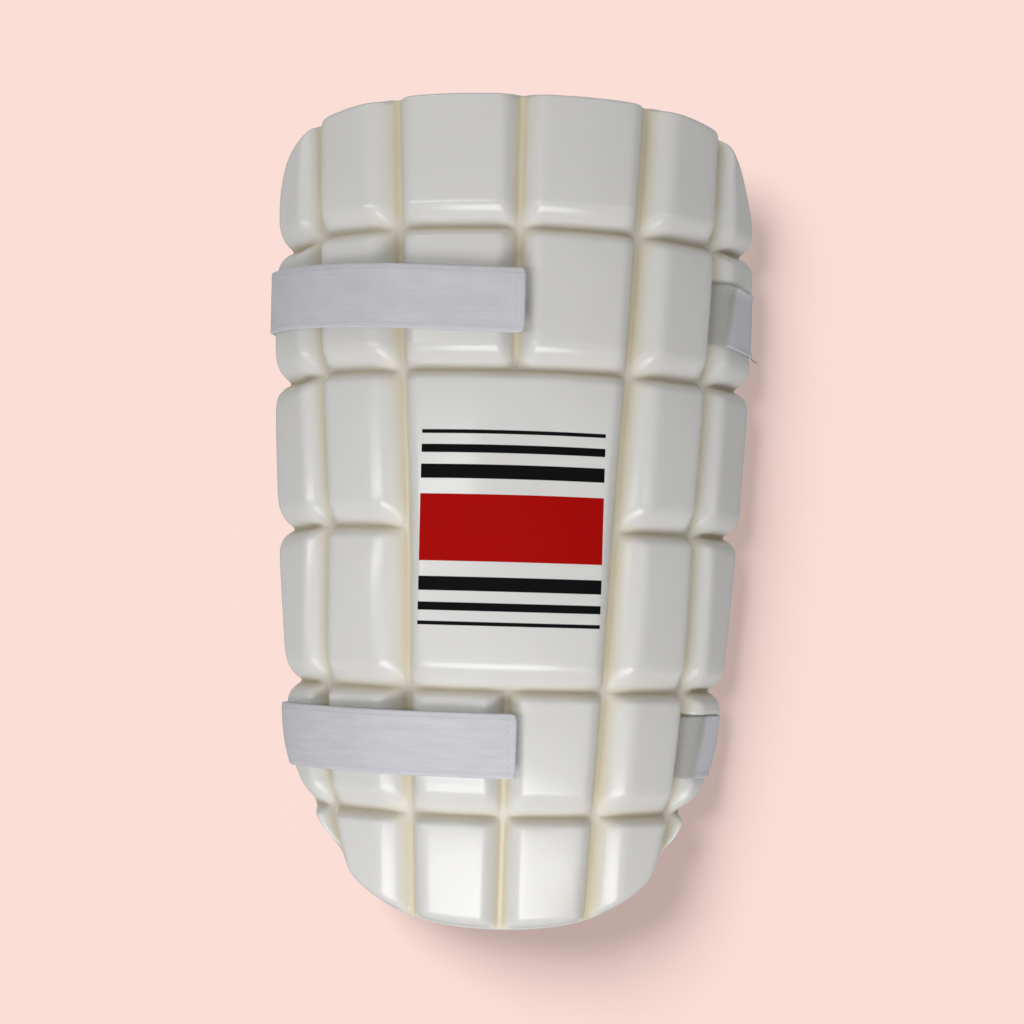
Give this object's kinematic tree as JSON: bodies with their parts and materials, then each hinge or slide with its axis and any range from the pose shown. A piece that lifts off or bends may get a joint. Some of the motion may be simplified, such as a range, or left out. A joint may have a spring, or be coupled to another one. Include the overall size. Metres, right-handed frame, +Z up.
{
  "type": "cricket thigh guard",
  "caption": "Curved moulded foam guard of pillow blocks that shields a batter's thigh, held round the leg by elastic straps with hook tape tabs.",
  "frame": {"origin": "on the floor under the middle of the guard as it rests hollow side down on the backs of its straps", "axes": "+Z up, away from the thigh at the crown, +Y along the guard towards the hip end, +X across it towards the sewn ends of the straps"},
  "size_m": [0.2026, 0.331, 0.0782],
  "materials": {
    "foam_skin": "satin off-white vinyl skin on moulded foam, cream in the grooves",
    "elastic": "grey-white woven elastic with stitched selvedges",
    "hook_tape": "pale grey hook tape"
  },
  "bodies": {
    "root": {"foam_guard": "foam_skin", "upper_strap": "elastic", "lower_strap": "elastic", "upper_hook_tape": "hook_tape", "lower_hook_tape": "hook_tape"}
  },
  "joints": []
}
